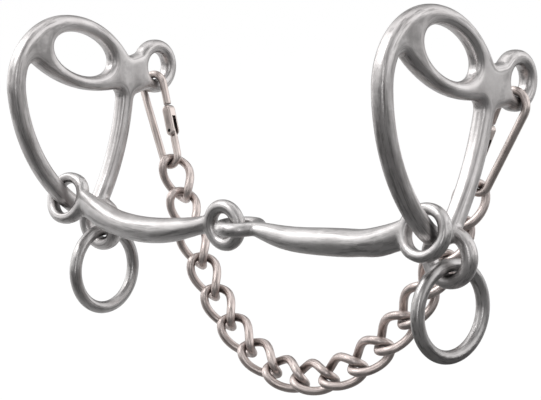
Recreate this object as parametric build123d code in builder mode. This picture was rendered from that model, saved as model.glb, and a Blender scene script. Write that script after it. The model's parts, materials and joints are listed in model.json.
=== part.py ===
from build123d import *
import os
from math import asin, atan2, cos, degrees, radians, sin

# Sliding-cheek curb bit with a jointed mouthpiece, rein rings, two spring snaps and a chain.
# X runs along the mouthpiece, -Y is the side of the cheeks' long rails, +Z is up.
# The origin is the middle of the mouthpiece's centre joint.

os.makedirs("parts", exist_ok=True)

# Driving dimensions, in millimetres and degrees
cheek_x = 70.0  # from the centre of the bit to the middle of each cheek
rod = 5.3  # thickness of the cheek casting and width of its rods
edge_round = 2.05  # rounding of the casting's edges
blend = 2.4  # inside blends where the rods of a cheek meet
cheek_pitch = 3.27  # the left cheek hangs tipped back by this, the right one forwards

rail_radius = 48.73  # arc of the rail, along which the mouthpiece slides
rail_y, rail_z = 31.75, 40.46  # centre of that arc
rest_angle = 229.35  # where the mouthpiece rests on the arc
rail_top, rail_bottom = 180.0, 232.0  # ends of the rail's true arc

arch_shoulder = (-40.75, 14.84)  # points of the cheek's arch, from the arc's centre
arch_crown = (-26.0, 18.2)
arch_end = (-3.85, 2.24)
shank_top, shank_middle, shank_end = (-3.3, -2.2), (-8.7, -20.3), (-20.4, -39.4)
bar_front, bar_middle, bar_rear = (-40.3, 11.2), (-25.0, 0.8), (-3.3, -2.2)
slot_y, slot_z, slot_tilt = -21.28, 7.94, -23.0  # headstall slot
slot_half_length, slot_half_height = 12.6, 6.4

curb_y, curb_z, curb_outer, curb_hole = 10.15, -0.66, 8.6, 4.3  # loop for the curb chain
curb_neck = 12.2  # width of its neck

eye_y, eye_z = -20.25, -46.06  # lower eye, which carries the rein ring
eye_middle, eye_band, eye_depth = 6.6, 4.2, 4.8

rein_middle, rein_wire = 12.45, 3.9  # rein ring: radius of its wire's middle, wire thickness
rein_lift = 4.4  # its wire's middle above the middle of the eye's lower bar
rein_yaw = 8.0  # the right ring is turned by this

mouth_eye_x = 68.9  # eyes at the ends of the mouthpiece, which ride on the rails
mouth_eye_middle, mouth_eye_band, mouth_eye_depth = 6.45, 3.3, 4.4
mouth_eye_tilt = 20.0
link_eye_x, link_eye_middle, link_eye_wire = 3.0, 5.5, 4.2  # eyes of the centre joint
cannon_run = (9.0, 13.5, 22.0, 33.0, 45.0, 55.0, 62.4)  # sections of a cannon: distance out
cannon_rise = (0.0, -1.0, -2.7, -3.8, -3.0, -0.2, 2.7)  # height
cannon_width = (4.0, 5.6, 7.0, 7.8, 7.8, 6.6, 4.4)  # thickness across the eye's plane
cannon_height = (6.2, 5.6, 7.0, 7.8, 7.8, 6.8, 8.0)  # thickness in the eye's plane

hang_lean = 9.2  # the snaps and the chain lean forwards by this
hook_wire = 2.4  # spring snap
hook_pivot = 25.8  # from the curb loop's lower bar to the pivot with the first link
hook_top, hook_bottom, hook_drop = 4.5, 3.2, 0.75
gate_top, gate_length = 8.3, 10.2  # top of the gate below the bar, and its length
gate_width, gate_depth = 3.4, 3.4
gate_end = 1.7  # rivet above the gate's lower end
gate_slot, tongue_depth, rivet_radius, rivet_fit = 1.5, 1.0, 0.5, 0.05

links, pitch, link_wire = 16, 11.35, 2.6  # curb chain
link_half_width, link_corner = 4.2, 2.6
link_twist = 50.0  # each end of a link is turned by this
link_roll, roll_share = 20.0, 0.4  # extra turn of the first link, passed on to the next
chain_pull = 3.17  # horizontal pull in the chain, in weights of one link
play = 0.3  # gap between two links


def save(part, name):
    """Label a finished piece and write it."""
    part.label = name
    export_step(part, f"parts/{name}.step")
    print(name, round(part.volume))


def side_name(side):
    return "left" if side < 0 else "right"


def on_rail(angle):
    """A point of the rail's arc, from the arc's centre."""
    return rail_radius * cos(radians(angle)), rail_radius * sin(radians(angle))


def cheek_plane(side):
    """Plane of a cheek: its x axis points to the rear, its origin is the arc's centre."""
    angle = radians(-side * cheek_pitch)
    origin = (side * cheek_x, rail_y, rail_z)
    return Plane(origin=origin, x_dir=(0, cos(angle), sin(angle)), z_dir=(1, 0, 0))


def hang_plane():
    """Plane of the snaps and the chain, through the centres of both curb loops."""
    left = cheek_plane(-1).from_local_coords((curb_y, curb_z, 0))
    right = cheek_plane(1).from_local_coords((curb_y, curb_z, 0))
    across = (right - left).normalized()
    up = Vector(0, sin(radians(hang_lean)), cos(radians(hang_lean)))
    return Plane(origin=(left + right) / 2, x_dir=across, z_dir=across.cross(up))


# Cheeks


def make_cheek(side):
    """One casting: rail, arch, crossbar, shank, headstall slot, curb loop and lower eye."""
    plane = cheek_plane(side)
    with BuildPart() as cheek:
        with BuildSketch(plane):
            with BuildLine():
                arc = CenterArc((0, 0), rail_radius, rail_top, rail_bottom - rail_top)
                TangentArc(arc @ 1, shank_end, tangent=arc % 1)
            trace(line_width=rod)
            with BuildLine():
                shoulder = TangentArc(on_rail(180), arch_shoulder, tangent=(0, 1))
                crown = TangentArc(shoulder @ 1, arch_crown, tangent=shoulder % 1)
                TangentArc(crown @ 1, arch_end, tangent=crown % 1)
            trace(line_width=rod)
            with BuildLine():
                ThreePointArc(shank_top, shank_middle, shank_end)
            trace(line_width=rod)
            with BuildLine():
                ThreePointArc(bar_front, bar_middle, bar_rear)
            trace(line_width=rod)
            with BuildLine():
                Polyline(bar_front, arch_shoulder, arch_crown, arch_end, bar_rear)
                ThreePointArc(bar_front, bar_middle, bar_rear)
            make_face()
            with BuildLine():
                Line(shank_top, (curb_y, curb_z))
            trace(line_width=curb_neck)
            with Locations(shank_end, shank_top, arch_end):
                Circle(rod / 2)
            with Locations((curb_y, curb_z)):
                Circle(curb_outer)
            offset(amount=blend, kind=Kind.ARC)
            offset(amount=-blend, kind=Kind.ARC)
            with Locations((curb_y, curb_z)):
                Circle(curb_hole, mode=Mode.SUBTRACT)
            with Locations(Location((slot_y, slot_z), slot_tilt)):
                Ellipse(slot_half_length, slot_half_height, mode=Mode.SUBTRACT)
        extrude(amount=rod / 2, both=True)
        fillet(cheek.faces().filter_by(Axis.X).edges(), edge_round)
        eye = plane.from_local_coords((eye_y, eye_z, 0))
        with BuildSketch(Plane(origin=eye, x_dir=(1, 0, 0), z_dir=-plane.y_dir)):
            with Locations((eye_middle, 0)):
                RectangleRounded(eye_band, eye_depth, eye_band * 0.48)
        revolve(axis=Axis(eye, plane.x_dir))
    return cheek.part


for side in (-1, 1):
    save(make_cheek(side), side_name(side) + "_cheek")


# Mouthpiece: two curved cannons, each with an eye on its rail and an eye at the centre


def make_cannon(side):
    rest_y, rest_z = on_rail(rest_angle)
    eye = Vector(side * mouth_eye_x, rail_y + rest_y, rail_z + rest_z)
    tilt = radians(mouth_eye_tilt)
    eye_axis = Vector(0, cos(tilt), -sin(tilt))
    centre = Vector(side * link_eye_x, 0, 0)
    flat = Plane.XY if side > 0 else Plane.XZ
    with BuildPart() as cannon:
        for i in range(len(cannon_run)):
            upright = side < 0 or i == len(cannon_run) - 1
            y_size = cannon_width[i] if upright else cannon_height[i]
            z_size = cannon_height[i] if upright else cannon_width[i]
            section = (side * cannon_run[i], 0, cannon_rise[i])
            with BuildSketch(Plane(origin=section, x_dir=(0, 1, 0), z_dir=(side, 0, 0))):
                Ellipse(y_size / 2, z_size / 2)
        loft()
        with BuildSketch(Plane(origin=eye, x_dir=(1, 0, 0), z_dir=eye_axis.cross(Vector(1, 0, 0)))):
            with Locations((mouth_eye_middle, 0)):
                RectangleRounded(mouth_eye_band, mouth_eye_depth, mouth_eye_band * 0.48)
        revolve(axis=Axis(eye, eye_axis))
        rim = centre + Vector(link_eye_middle, 0, 0)
        with BuildSketch(Plane(origin=rim, x_dir=(1, 0, 0), z_dir=flat.y_dir)):
            Circle(link_eye_wire / 2)
        revolve(axis=Axis(centre, flat.z_dir))
    return cannon.part


for side in (-1, 1):
    save(make_cannon(side), side_name(side) + "_cannon")


# Rein rings, hanging in the lower eyes


def make_rein_ring(side):
    bar = cheek_plane(side).from_local_coords((eye_y, eye_z - eye_middle, 0))
    centre = bar + Vector(0, 0, rein_lift - rein_middle)
    yaw = radians(rein_yaw if side > 0 else 0)
    across = Vector(cos(yaw), -sin(yaw), 0)
    along = Vector(sin(yaw), cos(yaw), 0)
    with BuildPart() as ring:
        with BuildSketch(Plane(origin=centre + along * rein_middle, x_dir=across, z_dir=(0, 0, 1))):
            Circle(rein_wire / 2)
        revolve(axis=Axis(centre, across))
    return ring.part


for side in (-1, 1):
    save(make_rein_ring(side), side_name(side) + "_rein_ring")


# Chain: where its joints hang, as points (across, up) of the hang plane

slopes = [atan2(i - (links - 1) / 2, chain_pull) for i in range(links)]
half_span = sum(pitch * cos(slope) for slope in slopes) / 2
curb_middle = (curb_outer + curb_hole) / 2
hook_tilt = asin((cheek_x - half_span) / hook_pivot)
joints = [(-half_span, -curb_middle - hook_pivot * cos(hook_tilt))]
for slope in slopes:
    across, up = joints[-1]
    joints.append((across + pitch * cos(slope), up + pitch * sin(slope)))


# Spring snaps: a bent wire, a gate that closes its inner side, a rivet and a spring


def snap_plane(side):
    """Plane of a snap: its origin is the curb loop's bar, x points inwards and y up."""
    hang = hang_plane()
    origin = hang.from_local_coords((side * cheek_x, -curb_middle, 0))
    inwards = hang.x_dir * (-side * cos(hook_tilt)) + hang.y_dir * sin(hook_tilt)
    return Plane(origin=origin, x_dir=inwards, z_dir=hang.z_dir * -side)


hook_floor = -hook_pivot - (hook_wire + play) / 2  # middle of the wire in the lower bend
hook_length = -hook_drop - hook_floor - hook_bottom  # between the centres of the two bends
hook_taper = asin((hook_top - hook_bottom) / hook_length)


def leg_point(depth):
    """Middle of the inner leg, at a depth below the curb loop's bar."""
    top_x = hook_top * cos(hook_taper)
    top_y = -hook_drop - hook_top * sin(hook_taper)
    return top_x - (depth + top_y) * sin(hook_taper) / cos(hook_taper), -depth


def make_snap_body(side):
    plane = snap_plane(side)
    taper = degrees(hook_taper)
    rivet = leg_point(gate_top + gate_length - gate_end)
    collar = leg_point(gate_top + gate_length + play)
    shoulder = leg_point(gate_top + gate_length + play + 1.3)
    with BuildPart() as body:
        with BuildLine(plane):
            nose = Line(leg_point(gate_top - play), leg_point(hook_drop + hook_top * sin(hook_taper)))
            top = CenterArc((0, -hook_drop), hook_top, -taper, 180 + 2 * taper)
            floor = CenterArc((0, hook_floor + hook_bottom), hook_bottom, 180 + taper, 180 - 2 * taper)
            Line(top @ 1, floor @ 0)
            Line(floor @ 1, collar)
        with BuildSketch(Plane(origin=nose @ 0, z_dir=nose % 0)):
            Circle(hook_wire / 2)
        sweep()
        with BuildSketch(plane):
            with BuildLine():
                Line(rivet, shoulder)
            trace(line_width=gate_width - 1.2)
            with Locations(rivet):
                Circle(gate_width / 2 - 0.6)
                Circle(rivet_radius + rivet_fit, mode=Mode.SUBTRACT)
        extrude(amount=tongue_depth / 2, both=True)
    return body.part


def make_snap_gate(side):
    plane = snap_plane(side)
    rivet = leg_point(gate_top + gate_length - gate_end)
    top = leg_point(gate_top + gate_width / 2)
    slot_top = leg_point(gate_top + gate_length - gate_end - 4.6)
    slot_end = leg_point(gate_top + gate_length + 1.0)
    with BuildPart() as gate:
        with BuildSketch(plane):
            with BuildLine():
                Line(top, rivet)
            trace(line_width=gate_width)
            with Locations(top, rivet):
                Circle(gate_width / 2)
        extrude(amount=gate_depth / 2, both=True)
        flat_faces = gate.faces().sort_by(Axis(plane.origin, plane.z_dir))
        fillet(flat_faces[0].edges() + flat_faces[-1].edges(), 0.9)
        with BuildSketch(plane):
            with BuildLine():
                Line(slot_top, slot_end)
            trace(line_width=gate_width + 1)
        extrude(amount=gate_slot / 2, both=True, mode=Mode.SUBTRACT)
        with BuildSketch(plane):
            with Locations(rivet):
                Circle(rivet_radius + rivet_fit)
        extrude(amount=gate_depth, both=True, mode=Mode.SUBTRACT)
    return gate.part


def make_snap_rivet(side):
    plane = snap_plane(side)
    with BuildPart() as rivet:
        with BuildSketch(plane):
            with Locations(leg_point(gate_top + gate_length - gate_end)):
                Circle(rivet_radius)
        extrude(amount=gate_depth / 2 + 0.05, both=True)
    return rivet.part


def make_snap_spring(side):
    """Leaf that stands on the tongue, inside the slot of the gate."""
    plane = snap_plane(side)
    foot = leg_point(gate_top + gate_length - gate_end - 1.35)
    tip = leg_point(gate_top + gate_length - gate_end - 3.9)
    with BuildPart() as spring:
        with BuildSketch(plane):
            with BuildLine():
                Line(foot, tip)
            trace(line_width=1.4)
        extrude(amount=0.3, both=True)
    return spring.part


for side in (-1, 1):
    save(make_snap_body(side), side_name(side) + "_snap_body")
    save(make_snap_gate(side), side_name(side) + "_snap_gate")
    save(make_snap_rivet(side), side_name(side) + "_snap_rivet")
    save(make_snap_spring(side), side_name(side) + "_snap_spring")


# Chain links: every link is one bent wire whose two ends are turned against each other


def make_link():
    """A link along X, centred on the origin."""
    end = (pitch + link_wire + play) / 2
    wide = link_half_width * cos(radians(link_twist))
    high = link_half_width * sin(radians(link_twist))
    corners = ((-end, 0, 0), (-end, wide, -high), (end, wide, high), (end, 0, 0))
    with BuildPart() as link:
        with BuildLine() as half:
            FilletPolyline(*corners, radius=link_corner)
        with BuildSketch(Plane(origin=half.line @ 0, z_dir=half.line % 0)):
            Circle(link_wire / 2)
        sweep()
        add(link.part.rotate(Axis.X, 180))
    return link.part


link_shape = make_link()
hang = hang_plane()
for i in range(links):
    (left_across, left_up), (right_across, right_up) = joints[i], joints[i + 1]
    middle = ((left_across + right_across) / 2, (left_up + right_up) / 2, 0)
    along = hang.x_dir * cos(slopes[i]) + hang.y_dir * sin(slopes[i])
    from_end = min(i, links - 1 - i)
    roll = link_roll * roll_share**from_end * (-1 if i < links / 2 else 1)
    place = Plane(origin=hang.from_local_coords(middle), x_dir=along, z_dir=hang.z_dir)
    with BuildPart() as chain_link:
        with Locations(place.location * Rotation(roll, 0, 0)):
            add(link_shape)
    save(chain_link.part, f"chain_link_{i + 1:02d}")
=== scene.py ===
import json
from math import cos, pi, radians, sin

import bpy
from mathutils import Matrix, Vector


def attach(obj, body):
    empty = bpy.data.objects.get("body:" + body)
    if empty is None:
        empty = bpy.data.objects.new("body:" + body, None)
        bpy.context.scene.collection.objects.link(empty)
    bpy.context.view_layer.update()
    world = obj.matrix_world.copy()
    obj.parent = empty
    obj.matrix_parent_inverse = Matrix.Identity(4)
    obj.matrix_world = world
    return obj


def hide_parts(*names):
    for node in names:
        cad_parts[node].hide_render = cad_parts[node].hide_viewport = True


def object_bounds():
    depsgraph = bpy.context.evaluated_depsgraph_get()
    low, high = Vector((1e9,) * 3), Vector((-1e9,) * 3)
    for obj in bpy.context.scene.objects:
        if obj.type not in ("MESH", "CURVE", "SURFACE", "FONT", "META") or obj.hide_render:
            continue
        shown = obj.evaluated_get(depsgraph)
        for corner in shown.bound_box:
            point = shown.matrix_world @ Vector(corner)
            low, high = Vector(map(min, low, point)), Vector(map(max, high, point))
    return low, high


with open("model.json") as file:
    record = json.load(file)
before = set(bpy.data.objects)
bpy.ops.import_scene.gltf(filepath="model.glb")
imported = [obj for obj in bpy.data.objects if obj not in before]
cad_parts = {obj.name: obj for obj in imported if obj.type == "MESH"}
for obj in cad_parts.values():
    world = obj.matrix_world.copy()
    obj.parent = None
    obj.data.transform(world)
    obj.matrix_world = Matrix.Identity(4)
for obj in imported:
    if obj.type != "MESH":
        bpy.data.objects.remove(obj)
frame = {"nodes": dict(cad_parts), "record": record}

cad_box = [list(corner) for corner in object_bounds()]
scene = bpy.context.scene
scene.view_settings.view_transform = "Standard"

MM = 0.001
slots = {part["node"]: part["material_slot"] for part in frame["record"]["subparts"]}
frame_joints = {joint["name"]: joint for joint in frame["record"]["behaviour"]["joints"]}
body_of = {n: body for body, names in frame["record"]["behaviour"]["bodies"].items() for n in names}


# Camera

AZIMUTH, ELEVATION, ROLL = radians(41.93), radians(8.23), radians(-2.83)
AIM, DISTANCE = Vector((0.0, 0.0174, 0.0118)), 0.5554
LENS, SENSOR, SHIFT_Y = 126.7, 36, -0.043
CLIP_START, CLIP_END = 0.01, 50


def make_camera():
    """A camera that sees the bit as the photograph does."""
    right = Vector((cos(AZIMUTH), sin(AZIMUTH), 0))
    back = Vector((sin(AZIMUTH) * cos(ELEVATION), -cos(AZIMUTH) * cos(ELEVATION), sin(ELEVATION)))
    up = back.cross(right)
    across = right * cos(ROLL) + up * sin(ROLL)
    above = up * cos(ROLL) - right * sin(ROLL)
    data = bpy.data.cameras.new("camera")
    data.lens = LENS
    data.sensor_width = SENSOR
    data.shift_y = SHIFT_Y
    data.clip_start, data.clip_end = CLIP_START, CLIP_END
    camera = bpy.data.objects.new("camera", data)
    turn = Matrix((across, above, back)).transposed().to_4x4()
    camera.matrix_world = Matrix.Translation(AIM + back * DISTANCE) @ turn
    scene.collection.objects.link(camera)
    scene.camera = camera


make_camera()


# Node helpers


class Nodes:
    """Short names for making and joining shader nodes."""

    def __init__(self, tree):
        self.tree = tree
        tree.nodes.clear()

    def add(self, kind, values=None, **settings):
        node = self.tree.nodes.new(kind)
        for key, value in settings.items():
            setattr(node, key, value)
        for key, value in (values or {}).items():
            if isinstance(value, bpy.types.NodeSocket):
                self.tree.links.new(value, node.inputs[key])
            else:
                node.inputs[key].default_value = value
        return node

    def noise(self, where, scale, detail=3.0, roughness=0.55, stretch=(1, 1, 1)):
        space = self.add("ShaderNodeMapping", {"Vector": where, "Scale": stretch})
        values = {"Vector": space.outputs[0], "Scale": scale, "Detail": detail, "Roughness": roughness}
        return self.add("ShaderNodeTexNoise", values).outputs["Fac"]

    def fit(self, value, low, high, to_low=0.0, to_high=1.0):
        values = {"Value": value, "From Min": low, "From Max": high, "To Min": to_low, "To Max": to_high}
        return self.add("ShaderNodeMapRange", values).outputs[0]

    def mix(self, factor, first, second, blend="MIX"):
        node = self.add("ShaderNodeMix", {"Factor": factor}, data_type="RGBA", blend_type=blend)
        for socket, value in ((node.inputs[6], first), (node.inputs[7], second)):
            if isinstance(value, bpy.types.NodeSocket):
                self.tree.links.new(value, socket)
            else:
                socket.default_value = value
        return node.outputs[2]

    def math(self, operation, first, second=0.5):
        node = self.add("ShaderNodeMath", operation=operation)
        for socket, value in zip(node.inputs, (first, second)):
            if isinstance(value, bpy.types.NodeSocket):
                self.tree.links.new(value, socket)
            else:
                socket.default_value = value
        return node.outputs[0]


# Steel: scales are in features per metre, and the three scratch patterns are each stretched along one axis

CLOUD, MOTTLE, PITS = 120, 650, 2600
SCRATCHES = (
    (900, (0.12, 1.6, 1.0)),
    (1100, (1.3, 0.1, 1.0)),
    (1000, (1.0, 1.4, 0.09)),
)
SCRATCH_GAIN, SCRATCH_HEIGHT, PIT_HEIGHT = 8.0, 0.7, 0.35
BUMP_STRENGTH, BUMP_DEPTH = 0.10, 0.12 * MM
# Painted reflection: dark streaks laid by noise over the surface normal stand in for the reflections on
# brushed steel
REFLECTION_STREAK_DRIFT, REFLECTION_STREAK_SCALE, REFLECTION_STREAK_SHARE = 22.0, 3.2, 0.75
REFLECTION_STREAK_SHADE = 0.45  # brightness of a painted reflection streak against the dull steel
# Painted shade: a near-black colour mixed into the steel where ambient occlusion finds surfaces close by,
# in corners and between parts
PAINTED_SHADE_REACH, PAINTED_SHADE_SHARE, PAINTED_SHADE_COLOUR = 2.4 * MM, 0.55, (0.05, 0.045, 0.042)


def steel(name, bright, dull, rough):
    """Satin steel: mottled polish, painted reflection streaks along the rods, fine scratches, painted
    shade in the corners.
    """
    material = bpy.data.materials.new(name)
    material.use_nodes = True
    n = Nodes(material.node_tree)
    where = n.add("ShaderNodeTexCoord").outputs["Object"]
    cloud = n.noise(where, CLOUD, 4)
    mottle = n.noise(where, MOTTLE, 5, 0.65)
    pits = n.noise(where, PITS, 3, 0.6)

    # Painted reflection: along a straight rod the normal stays the same, so noise over it makes dark
    # streaks that stand in for reflections on brushed steel
    facing = n.add("ShaderNodeNewGeometry").outputs["Normal"]
    drift = n.add("ShaderNodeVectorMath", {0: where, "Scale": REFLECTION_STREAK_DRIFT}, operation="SCALE")
    reflection_band = n.add("ShaderNodeVectorMath", {0: facing, 1: drift.outputs[0]}, operation="ADD").outputs[0]
    reflection_streak = n.noise(reflection_band, REFLECTION_STREAK_SCALE, 4, 0.62)

    lines_x, lines_y, lines_z = (n.noise(where, scale, 2, 0.6, stretch) for scale, stretch in SCRATCHES)
    scratch = n.math(
        "MULTIPLY", n.math("MULTIPLY", lines_x, lines_y), n.math("MULTIPLY", lines_z, SCRATCH_GAIN))

    colour = n.mix(n.fit(cloud, 0.35, 0.68), (*dull, 1), (*bright, 1))
    colour = n.mix(n.fit(mottle, 0.3, 0.75, 0.0, 0.3), colour, (*dull, 1))
    # Painted reflection: the steel is darkened along the streaks
    shade = tuple(REFLECTION_STREAK_SHADE * value for value in dull)
    colour = n.mix(n.fit(reflection_streak, 0.5, 0.66, 0.0, REFLECTION_STREAK_SHARE), colour, (*shade, 1))
    # Painted shade: the colour goes towards near-black in corners and between parts, where ambient
    # occlusion finds surfaces close by
    corner = n.add("ShaderNodeAmbientOcclusion", {"Distance": PAINTED_SHADE_REACH}, samples=4).outputs["AO"]
    colour = n.mix(n.fit(corner, 0.35, 0.9, PAINTED_SHADE_SHARE, 0.0), colour, (*PAINTED_SHADE_COLOUR, 1))

    gloss = n.fit(mottle, 0.25, 0.8, rough - 0.02, rough + 0.05)
    gloss = n.math("ADD", gloss, n.fit(cloud, 0.3, 0.7, -0.03, 0.04))
    height = n.math(
        "ADD", n.math("MULTIPLY", scratch, SCRATCH_HEIGHT), n.math("MULTIPLY", pits, PIT_HEIGHT))
    bump = n.add("ShaderNodeBump", {
        "Height": height, "Strength": BUMP_STRENGTH, "Distance": BUMP_DEPTH})
    shader = n.add("ShaderNodeBsdfPrincipled", {
        "Base Color": colour, "Metallic": 1.0, "Roughness": gloss, "Normal": bump.outputs[0]})
    n.add("ShaderNodeOutputMaterial", {"Surface": shader.outputs[0]})
    return material


materials = {
    "cheek_steel": steel("cheek_steel", (0.80, 0.775, 0.77), (0.60, 0.575, 0.57), 0.34),
    "mouth_steel": steel("mouth_steel", (0.76, 0.74, 0.735), (0.58, 0.56, 0.555), 0.34),
    "ring_steel": steel("ring_steel", (0.70, 0.68, 0.675), (0.48, 0.465, 0.46), 0.30),
    "chain_steel": steel("chain_steel", (0.92, 0.82, 0.785), (0.70, 0.61, 0.58), 0.36),
    "snap_steel": steel("snap_steel", (0.95, 0.85, 0.81), (0.76, 0.67, 0.635), 0.36),
    "rivet_steel": steel("rivet_steel", (0.05, 0.05, 0.05), (0.02, 0.02, 0.02), 0.45),
}


def dress(mesh, node):
    """Give a mesh the steel of a CAD node's slot."""
    mesh.materials.clear()
    mesh.materials.append(materials[slots[node]])


def stand_in(piece, node):
    """Put a piece on a CAD node's body in its place."""
    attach(piece, body_of[node])
    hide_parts(node)


# Metal pieces: the CAD shapes, with their joins flowed together as in a casting. Lengths are in
# millimetres, and along a cannon they are distances from the bit's centre.

CASTS = {  # size of the remesh's voxels, and rounds of smoothing
    "_cheek": (0.42, 14),
    "_cannon": (0.38, 16),
    "_rein_ring": (0.3, 16),
    "_snap_body": (0.2, 4),
}
LIFTS = {"right_cannon": 2.2}  # how far a cannon's middle is raised
LIFT_START, LIFT_END, LIFT_SKEW = 9.0, 63.0, 1.1
FLARE_START, FLARE_END, FLARE = 46.0, 67.0, 0.3
FLARE_RISE = (-3.0, 3.9)  # height of the cannon's middle line where the flare starts and ends


def raised(out):
    """Share of a cannon's lift at a distance from the bit's centre: none at its two eyes."""
    if out < LIFT_START or out > LIFT_END:
        return 0.0
    share = (out - LIFT_START) / (LIFT_END - LIFT_START)
    return sin(pi * share**LIFT_SKEW) ** 2


def shape_cannon(mesh, lift):
    """Flare a cannon towards its outer eye, and lift its middle."""
    for vertex in mesh.vertices:
        out = abs(vertex.co.x) / MM
        share = min(max((out - FLARE_START) / (FLARE_END - FLARE_START), 0.0), 1.0)
        middle = FLARE_RISE[0] + (FLARE_RISE[1] - FLARE_RISE[0]) * share
        above = vertex.co.z - middle * MM
        vertex.co.z += FLARE * sin(pi * share) ** 2 * above + lift * MM * raised(out)


def cast(node, voxel, rounds):
    """A copy of a CAD node, remeshed evenly and smoothed, which stands for it."""
    piece = bpy.data.objects.new("fine_" + node, frame["nodes"][node].data.copy())
    scene.collection.objects.link(piece)
    shell = piece.modifiers.new("shell", "REMESH")
    shell.mode = "VOXEL"
    shell.voxel_size = voxel * MM
    soften = piece.modifiers.new("soften", "SMOOTH")
    soften.factor = 0.5
    soften.iterations = rounds
    graph = bpy.context.evaluated_depsgraph_get()
    mesh = bpy.data.meshes.new_from_object(piece.evaluated_get(graph))
    piece.modifiers.clear()
    piece.data = mesh
    mesh.name = piece.name
    if node.endswith("_cannon"):
        shape_cannon(mesh, LIFTS.get(node, 0.0))
    mesh.shade_smooth()
    dress(mesh, node)
    stand_in(piece, node)


# Chain links: bent wire ovals whose two ends are turned against each other

LINK_WIRE, LINK_HALF_LENGTH, LINK_HALF_WIDTH = 2.6, 7.125, 4.2
LINK_FULLNESS = 2.5  # 2 is an ellipse, more is squarer
LINK_TWIST = radians(58)
LINK_ROLL, ROLL_SHARE = radians(20), 0.8  # roll of the end links, and its share at each link inwards
LINKS, LINK_POINTS, WIRE_FACETS = 16, 96, 6


def power(value, exponent):
    """A power that keeps the value's sign."""
    return abs(value) ** exponent * (1 if value > 0 else -1)


def link_path():
    """Middle line of a link's wire, along X."""
    points = []
    for k in range(LINK_POINTS):
        turn = 2 * pi * k / LINK_POINTS
        along = LINK_HALF_LENGTH * power(cos(turn), 2 / LINK_FULLNESS)
        out = LINK_HALF_WIDTH * power(sin(turn), 2 / LINK_FULLNESS)
        twist = LINK_TWIST * along / LINK_HALF_LENGTH
        points.append(Vector((along, out * cos(twist), out * sin(twist))) * MM)
    return points


def link_place(number):
    """Where a link stands, from its CAD node and the joint at its outer end."""
    node = f"chain_link_{number:02d}"
    joint = frame_joints[node + "_bend"]
    corners = [frame["nodes"][node].matrix_world @ Vector(c) for c in frame["nodes"][node].bound_box]
    middle = sum(corners, Vector()) / 8
    outwards = -1 if number <= LINKS / 2 else 1
    normal = Vector(joint["axis"]).normalized()
    along = (Vector(joint["pos_m"]) - middle).normalized() * outwards
    side = normal.cross(along)
    from_end = min(number - 1, LINKS - number)
    roll = LINK_ROLL * ROLL_SHARE**from_end * outwards
    turn = Matrix((along, side, normal)).transposed().to_4x4() @ Matrix.Rotation(roll, 4, "X")
    return Matrix.Translation(middle) @ turn


def wire_link(number):
    """A chain link in place of its CAD node."""
    node = f"chain_link_{number:02d}"
    curve = bpy.data.curves.new("link", "CURVE")
    curve.dimensions = "3D"
    curve.bevel_depth = LINK_WIRE / 2 * MM
    curve.bevel_resolution = WIRE_FACETS
    path = link_path()
    spline = curve.splines.new("POLY")
    spline.points.add(len(path) - 1)
    spline.use_cyclic_u = True
    for point, where in zip(spline.points, path):
        point.co = (*where, 1)
    source = bpy.data.objects.new("link", curve)
    scene.collection.objects.link(source)
    graph = bpy.context.evaluated_depsgraph_get()
    mesh = bpy.data.meshes.new_from_object(source.evaluated_get(graph))
    bpy.data.objects.remove(source)
    mesh.transform(link_place(number))
    mesh.shade_smooth()
    dress(mesh, node)
    piece = bpy.data.objects.new("fine_" + node, mesh)
    scene.collection.objects.link(piece)
    stand_in(piece, node)


for number in range(1, LINKS + 1):
    wire_link(number)

for node in sorted(frame["nodes"]):
    settings = [values for ending, values in CASTS.items() if node.endswith(ending)]
    if settings:
        cast(node, *settings[0])
    elif not node.startswith("chain_link"):
        dress(frame["nodes"][node].data, node)


# Studio: a pale floor and a surround that are white to look at, and darker in reflections

FLOOR_HALF, FLOOR_DROP = 6.0, 0.03
FLOOR_TONE, FLOOR_NEAR, FLOOR_FAR = 0.82, 0.13, 0.6  # as seen, and as reflected in front and behind
FLOOR_BACK, FLOOR_FADE = (-0.67, 0.74, 0), 0.12  # towards the back, and how soon it gets lighter
FLOOR_GLOW, FLOOR_GLOW_SHARE = 1.06, 0.86

SURROUND_LOW = 0.17
PANELS = (  # direction, where its glow begins and is fullest, and how bright it is
    ((-0.62, -0.38, 0.69), 0.3, 0.95, 0.95),
    ((0.72, 0.66, 0.20), 0.35, 0.98, 1.15),
)

SOFTBOXES = (  # name, place, width, height and watts
    ("key", (-0.45, -0.55, 0.85), 0.7, 0.5, 3.0),
    ("top", (-0.1, 0.35, 1.1), 0.9, 0.5, 1.0),
    ("left", (-1.1, -0.1, 0.35), 0.35, 0.9, 1.4),
    ("front", (0.75, -0.95, 0.35), 0.25, 0.9, 1.6),
)


def grey(value):
    return value, value, value, 1


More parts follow.
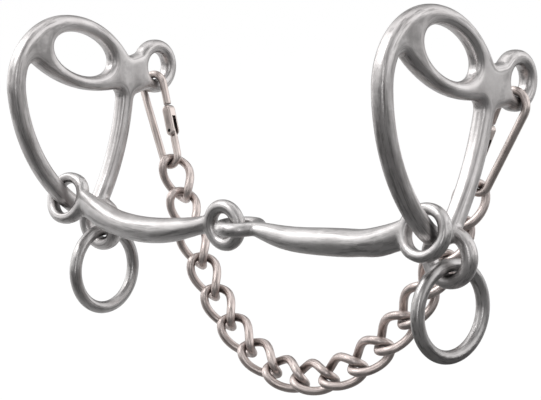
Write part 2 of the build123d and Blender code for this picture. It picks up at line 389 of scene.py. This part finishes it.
def make_floor():
    """A wide plane a little below the bit."""
    low, high = -FLOOR_HALF, FLOOR_HALF
    corners = [(low, low, 0), (high, low, 0), (high, high, 0), (low, high, 0)]
    floor_mesh = bpy.data.meshes.new("floor")
    floor_mesh.from_pydata(corners, [], [(0, 1, 2, 3)])
    floor = bpy.data.objects.new("floor", floor_mesh)
    floor.location = (0, 0, cad_box[0][2] - FLOOR_DROP)
    scene.collection.objects.link(floor)
    material = bpy.data.materials.new("floor_paper")
    material.use_nodes = True
    n = Nodes(material.node_tree)
    seen = n.add("ShaderNodeLightPath").outputs["Is Camera Ray"]
    place = n.add("ShaderNodeNewGeometry").outputs["Position"]
    behind = n.add("ShaderNodeVectorMath", {0: place, 1: FLOOR_BACK}, operation="DOT_PRODUCT")
    fade = n.fit(behind.outputs["Value"], 0.0, FLOOR_FADE)
    reflected = n.mix(fade, grey(FLOOR_NEAR), grey(FLOOR_FAR))
    tone = n.mix(seen, reflected, grey(FLOOR_TONE))
    paper = n.add("ShaderNodeBsdfDiffuse", {"Color": tone})
    white = n.add("ShaderNodeEmission", {"Color": grey(1), "Strength": FLOOR_GLOW})
    share = n.math("MULTIPLY", seen, FLOOR_GLOW_SHARE)
    both = n.add("ShaderNodeMixShader", {0: share, 1: paper.outputs[0], 2: white.outputs[0]})
    n.add("ShaderNodeOutputMaterial", {"Surface": both.outputs[0]})
    floor_mesh.materials.append(material)


def make_surround():
    """A world that is white to the camera and lights the bit from two sides."""
    world = bpy.data.worlds.new("studio")
    scene.world = world
    world.use_nodes = True
    n = Nodes(world.node_tree)
    ray = n.add("ShaderNodeLightPath").outputs["Is Camera Ray"]
    seen = n.add("ShaderNodeBackground", {"Color": grey(1), "Strength": 1.0})
    where = n.add("ShaderNodeTexCoord").outputs["Generated"]
    lit = SURROUND_LOW
    for side, start, end, strength in PANELS:
        facing = n.add("ShaderNodeVectorMath", {0: where, 1: side}, operation="DOT_PRODUCT")
        lit = n.math("ADD", n.fit(facing.outputs["Value"], start, end, 0.0, strength), lit)
    glow = n.add("ShaderNodeBackground", {"Color": grey(1), "Strength": lit})
    both = n.add("ShaderNodeMixShader", {0: ray, 1: glow.outputs[0], 2: seen.outputs[0]})
    n.add("ShaderNodeOutputWorld", {"Surface": both.outputs[0]})


def softbox(name, place, width, height, watts):
    """A rectangular lamp that looks at the middle of the bit."""
    data = bpy.data.lights.new(name, "AREA")
    data.shape = "RECTANGLE"
    data.size, data.size_y = width, height
    data.energy = watts
    lamp = bpy.data.objects.new(name, data)
    lamp.location = place
    lamp.rotation_euler = (-Vector(place)).to_track_quat("-Z", "Y").to_euler()
    scene.collection.objects.link(lamp)


make_floor()
make_surround()
for box in SOFTBOXES:
    softbox(*box)
